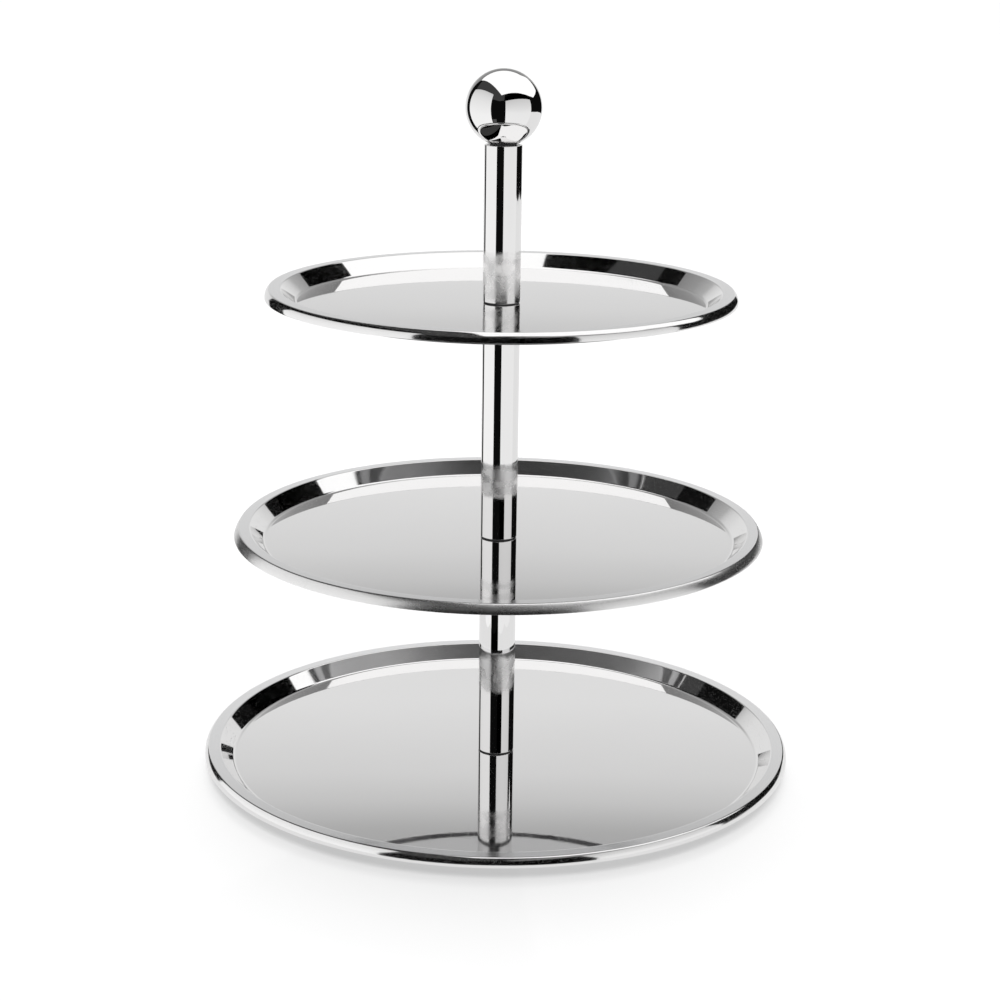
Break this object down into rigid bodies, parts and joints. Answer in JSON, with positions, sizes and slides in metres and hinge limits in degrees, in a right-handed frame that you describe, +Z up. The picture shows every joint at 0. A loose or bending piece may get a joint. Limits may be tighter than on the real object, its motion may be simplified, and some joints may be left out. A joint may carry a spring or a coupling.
{
  "type": "tiered cake stand",
  "caption": "Tiered cake stand with round rimmed trays on a screw-together polished tube column and a ball knob.",
  "frame": {"origin": "on the table under the rubber feet, on the axis of the column", "axes": "+Z up along the column, +X to the right and +Y to the back; the stand is round, so X and Y are equal"},
  "size_m": [0.325, 0.325, 0.3844],
  "materials": {
    "tray_steel": "mirror-polished stainless sheet, fine turning marks",
    "tube_steel": "mirror-polished stainless tube",
    "knob_steel": "mirror-polished hollow ball",
    "plug_steel": "turned steel",
    "screw_zinc": "bright zinc-plated screws",
    "soft_ring": "thin black fibre ring",
    "foot_rubber": "matt black rubber"
  },
  "bodies": {
    "base": {"bottom_tray": "tray_steel", "base_pad": "soft_ring", "base_washer": "plug_steel", "base_screw": "screw_zinc", "rubber_feet": "foot_rubber"},
    "lower_ring": {"lower_gasket": "soft_ring"},
    "lower_column": {"lower_tube": "tube_steel", "lower_tube_top_plug": "plug_steel", "lower_tube_bottom_plug": "plug_steel", "middle_stud": "screw_zinc"},
    "middle_tier": {"middle_tray": "tray_steel"},
    "middle_ring": {"middle_gasket": "soft_ring"},
    "middle_column": {"middle_tube": "tube_steel", "middle_tube_top_plug": "plug_steel", "middle_tube_bottom_plug": "plug_steel", "top_stud": "screw_zinc"},
    "top_tier": {"top_tray": "tray_steel"},
    "upper_ring": {"upper_gasket": "soft_ring"},
    "upper_column": {"upper_tube": "tube_steel", "upper_tube_top_plug": "plug_steel", "upper_tube_bottom_plug": "plug_steel"},
    "knob_ring": {"knob_washer": "soft_ring"},
    "knob": {"ball_knob": "knob_steel", "knob_insert": "plug_steel", "knob_stud": "screw_zinc"}
  },
  "joints": [
    {"name": "lower_column_rise", "type": "slide", "parent": "base", "child": "lower_ring", "axis": [0, 0, 1], "range_m": [0, 0.011]},
    {"name": "lower_column_turn", "type": "hinge", "parent": "lower_ring", "child": "lower_column", "pos_m": [0, 0, 0.0076], "axis": [0, 0, 1], "range_deg": [0, 3960]},
    {"name": "middle_tray_lift", "type": "slide", "parent": "lower_column", "child": "middle_tier", "axis": [0, 0, 1], "range_m": [0, 0.014]},
    {"name": "middle_column_rise", "type": "slide", "parent": "middle_tier", "child": "middle_ring", "axis": [0, 0, 1], "range_m": [0, 0.011]},
    {"name": "middle_column_turn", "type": "hinge", "parent": "middle_ring", "child": "middle_column", "pos_m": [0, 0, 0.1326], "axis": [0, 0, 1], "range_deg": [0, 3960]},
    {"name": "top_tray_lift", "type": "slide", "parent": "middle_column", "child": "top_tier", "axis": [0, 0, 1], "range_m": [0, 0.014]},
    {"name": "upper_column_rise", "type": "slide", "parent": "top_tier", "child": "upper_ring", "axis": [0, 0, 1], "range_m": [0, 0.011]},
    {"name": "upper_column_turn", "type": "hinge", "parent": "upper_ring", "child": "upper_column", "pos_m": [0, 0, 0.2626], "axis": [0, 0, 1], "range_deg": [0, 3960]},
    {"name": "knob_rise", "type": "slide", "parent": "upper_column", "child": "knob_ring", "axis": [0, 0, 1], "range_m": [0, 0.009]},
    {"name": "knob_turn", "type": "hinge", "parent": "knob_ring", "child": "knob", "pos_m": [0, 0, 0.346], "axis": [0, 0, 1], "range_deg": [0, 3240]}
  ],
  "couplings": [
    {"joint": "lower_column_rise", "follows": "lower_column_turn", "m_per_rad": 0.00015915},
    {"joint": "middle_column_rise", "follows": "middle_column_turn", "m_per_rad": 0.00015915},
    {"joint": "upper_column_rise", "follows": "upper_column_turn", "m_per_rad": 0.00015915},
    {"joint": "knob_rise", "follows": "knob_turn", "m_per_rad": 0.00015915}
  ]
}
